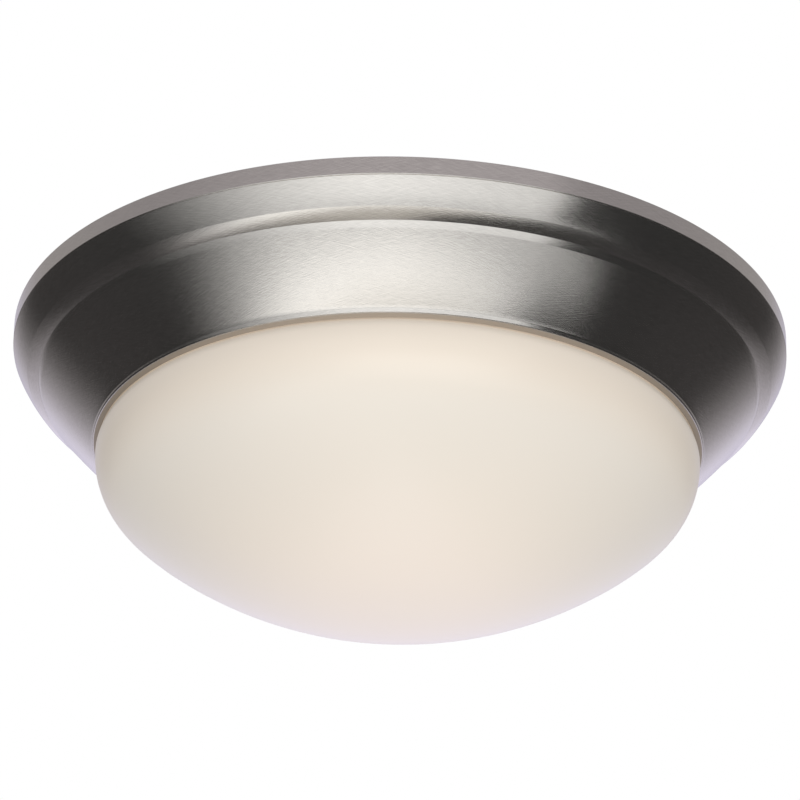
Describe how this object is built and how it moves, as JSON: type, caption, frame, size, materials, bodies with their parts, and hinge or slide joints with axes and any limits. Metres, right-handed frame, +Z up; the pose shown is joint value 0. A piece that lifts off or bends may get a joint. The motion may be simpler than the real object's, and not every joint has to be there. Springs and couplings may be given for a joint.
{
  "type": "flush mount ceiling light",
  "caption": "Round flush mount ceiling light: brushed nickel trim ring with stepped mouldings round a twist-on opal glass dome.",
  "frame": {"origin": "centre of the ceiling plane, in the middle of the mounting strap's slots", "axes": "+Z up into the ceiling and the outlet box, the light hangs below z = 0; +X along the lamps; +Y along the mounting strap; the picture looks along +Y from below"},
  "size_m": [0.3564, 0.3564, 0.1321],
  "materials": {
    "satin_nickel": "satin brushed nickel plate with fine lengthwise strokes",
    "opal_glass": "satin opal glass, white cased, smooth",
    "white_enamel": "gloss white baked enamel",
    "mineral_wool": "compressed mineral wool",
    "zinc_steel": "bright zinc plated steel",
    "green_zinc": "green passivated steel",
    "black_nylon": "moulded nylon",
    "porcelain": "white glazed porcelain",
    "shell_metal": "drawn aluminium",
    "contact_brass": "bright brass",
    "nickel_brass": "nickel plated brass",
    "gasket_rubber": "white silicone rubber",
    "lamp_frost": "inside frosted lamp glass",
    "lamp_cap_metal": "rolled aluminium",
    "lamp_vitrite": "black glass insulator",
    "lamp_solder": "tinned contact"
  },
  "bodies": {
    "fixture": {"trim_ring": "satin_nickel", "back_pan": "white_enamel", "trim_rivets": "zinc_steel", "hook_rivets": "zinc_steel", "insulation_pad": "mineral_wool", "mounting_strap": "zinc_steel", "stud_screws": "zinc_steel", "cap_nuts": "nickel_brass", "ground_screw": "green_zinc", "wire_bushing": "black_nylon", "socket_bracket": "zinc_steel", "bracket_screws": "zinc_steel", "holder_bolts": "zinc_steel", "holder_nuts": "zinc_steel", "terminal_screws_hot": "contact_brass", "terminal_screws_neutral": "nickel_brass", "shade_hooks": "zinc_steel", "lampholder_right": "porcelain", "screw_shell_right": "shell_metal", "lampholder_left": "porcelain", "screw_shell_left": "shell_metal"},
    "shade": {"glass_dome": "opal_glass", "shade_gasket": "gasket_rubber", "twist_ring": "zinc_steel"},
    "contact_right": {"contact_right": "contact_brass"},
    "lamp_right": {"lamp_tip_right": "lamp_solder", "lamp_insulator_right": "lamp_vitrite", "lamp_cap_right": "lamp_cap_metal", "lamp_glass_right": "lamp_frost"},
    "contact_left": {"contact_left": "contact_brass"},
    "lamp_left": {"lamp_tip_left": "lamp_solder", "lamp_insulator_left": "lamp_vitrite", "lamp_cap_left": "lamp_cap_metal", "lamp_glass_left": "lamp_frost"}
  },
  "joints": [
    {"name": "shade_twist", "type": "hinge", "parent": "fixture", "child": "shade", "pos_m": [0, 0, 0], "axis": [0, 0, 1], "range_deg": [-15, 0]},
    {"name": "contact_right_travel", "type": "slide", "parent": "fixture", "child": "contact_right", "axis": [1, 0, 0], "range_m": [0, 0.0015]},
    {"name": "lamp_right_screw", "type": "hinge", "parent": "contact_right", "child": "lamp_right", "pos_m": [0.04, 0, -0.042], "axis": [1, 0, 0], "range_deg": [0, 145.8]},
    {"name": "contact_left_travel", "type": "slide", "parent": "fixture", "child": "contact_left", "axis": [-1, 0, 0], "range_m": [0, 0.0015]},
    {"name": "lamp_left_screw", "type": "hinge", "parent": "contact_left", "child": "lamp_left", "pos_m": [-0.04, 0, -0.042], "axis": [-1, 0, 0], "range_deg": [0, 145.8]}
  ],
  "couplings": [
    {"joint": "contact_right_travel", "follows": "lamp_right_screw", "m_per_rad": 0.00057757},
    {"joint": "contact_left_travel", "follows": "lamp_left_screw", "m_per_rad": 0.00057757}
  ]
}
